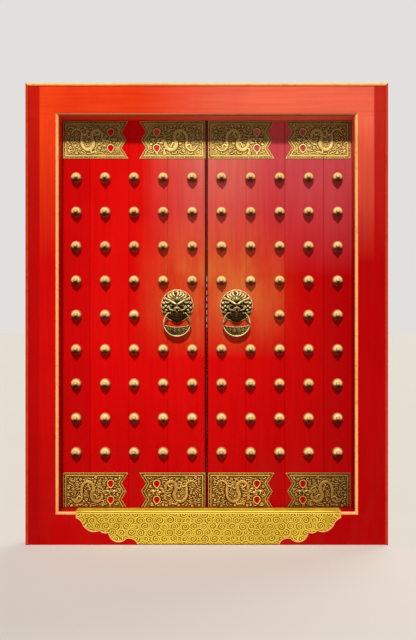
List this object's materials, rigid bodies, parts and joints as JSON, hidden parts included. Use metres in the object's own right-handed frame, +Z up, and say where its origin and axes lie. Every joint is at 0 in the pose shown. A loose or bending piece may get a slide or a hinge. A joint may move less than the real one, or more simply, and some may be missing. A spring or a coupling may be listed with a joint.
{
  "type": "temple door with frame",
  "caption": "Double-leaf red lacquered gate in its frame, with gilt domed nails, relief corner plates, lion-mask ring knockers and a scalloped embossed threshold cladding.",
  "frame": {"origin": "middle of the threshold's underside", "axes": "+Z up, -Y out of the front, +X to the right seen from the front"},
  "size_m": [2.7, 0.512, 3.44],
  "materials": {
    "red_lacquer": "red lacquer on timber",
    "gilt_brass": "aged fire gilding",
    "gold_leaf": "gold leaf on timber",
    "wrought_iron": "blackened",
    "block_stone": "dressed",
    "bolt_timber": "oiled"
  },
  "bodies": {
    "frame": {"threshold": "red_lacquer", "left_jamb": "red_lacquer", "right_jamb": "red_lacquer", "head": "red_lacquer", "threshold_cladding": "gilt_brass", "pivot_beam": "red_lacquer", "pivot_beam_spikes": "wrought_iron", "left_pivot_block": "block_stone", "right_pivot_block": "block_stone", "floor_sockets": "wrought_iron", "beam_bushes": "wrought_iron", "left_opening_bead": "gold_leaf", "right_opening_bead": "gold_leaf", "top_opening_bead": "gold_leaf", "sill_beads": "gold_leaf", "left_border_bead": "gold_leaf", "right_border_bead": "gold_leaf", "top_border_bead": "gold_leaf"},
    "left_leaf": {"left_hinge_stile": "red_lacquer", "left_plank_1": "red_lacquer", "left_plank_2": "red_lacquer", "left_plank_3": "red_lacquer", "left_batten_1": "red_lacquer", "left_batten_2": "red_lacquer", "left_batten_3": "red_lacquer", "left_batten_4": "red_lacquer", "left_batten_5": "red_lacquer", "left_pivots": "wrought_iron", "left_door_nails": "gilt_brass", "left_upper_outer_plate": "gilt_brass", "left_upper_inner_plate": "gilt_brass", "left_lower_outer_plate": "gilt_brass", "left_lower_inner_plate": "gilt_brass", "left_lion_mask": "gilt_brass", "left_knocker_fixing": "wrought_iron", "left_bolt_keepers": "wrought_iron"},
    "left_ring": {"left_knocker_ring": "gilt_brass"},
    "right_leaf": {"right_hinge_stile": "red_lacquer", "right_plank_1": "red_lacquer", "right_plank_2": "red_lacquer", "right_plank_3": "red_lacquer", "right_batten_1": "red_lacquer", "right_batten_2": "red_lacquer", "right_batten_3": "red_lacquer", "right_batten_4": "red_lacquer", "right_batten_5": "red_lacquer", "right_pivots": "wrought_iron", "right_door_nails": "gilt_brass", "right_upper_outer_plate": "gilt_brass", "right_upper_inner_plate": "gilt_brass", "right_lower_outer_plate": "gilt_brass", "right_lower_inner_plate": "gilt_brass", "right_lion_mask": "gilt_brass", "right_knocker_fixing": "wrought_iron", "right_bolt_keeper": "wrought_iron"},
    "right_ring": {"right_knocker_ring": "gilt_brass"},
    "bolt": {"door_bolt": "bolt_timber"}
  },
  "joints": [
    {"name": "left_leaf_hinge", "type": "hinge", "parent": "frame", "child": "left_leaf", "pos_m": [-1.115, 0.133, 0.2], "axis": [0, 0, 1], "range_deg": [0, 95]},
    {"name": "right_leaf_hinge", "type": "hinge", "parent": "frame", "child": "right_leaf", "pos_m": [1.115, 0.133, 0.2], "axis": [0, 0, -1], "range_deg": [0, 95]},
    {"name": "left_ring_swing", "type": "hinge", "parent": "left_leaf", "child": "left_ring", "pos_m": [-0.225, 0.04, 1.727], "axis": [-1, 0, 0], "range_deg": [-10, 95]},
    {"name": "right_ring_swing", "type": "hinge", "parent": "right_leaf", "child": "right_ring", "pos_m": [0.225, 0.04, 1.727], "axis": [-1, 0, 0], "range_deg": [-10, 95]},
    {"name": "bolt_slide", "type": "slide", "parent": "left_leaf", "child": "bolt", "axis": [1, 0, 0], "range_m": [0, 0.24]}
  ]
}
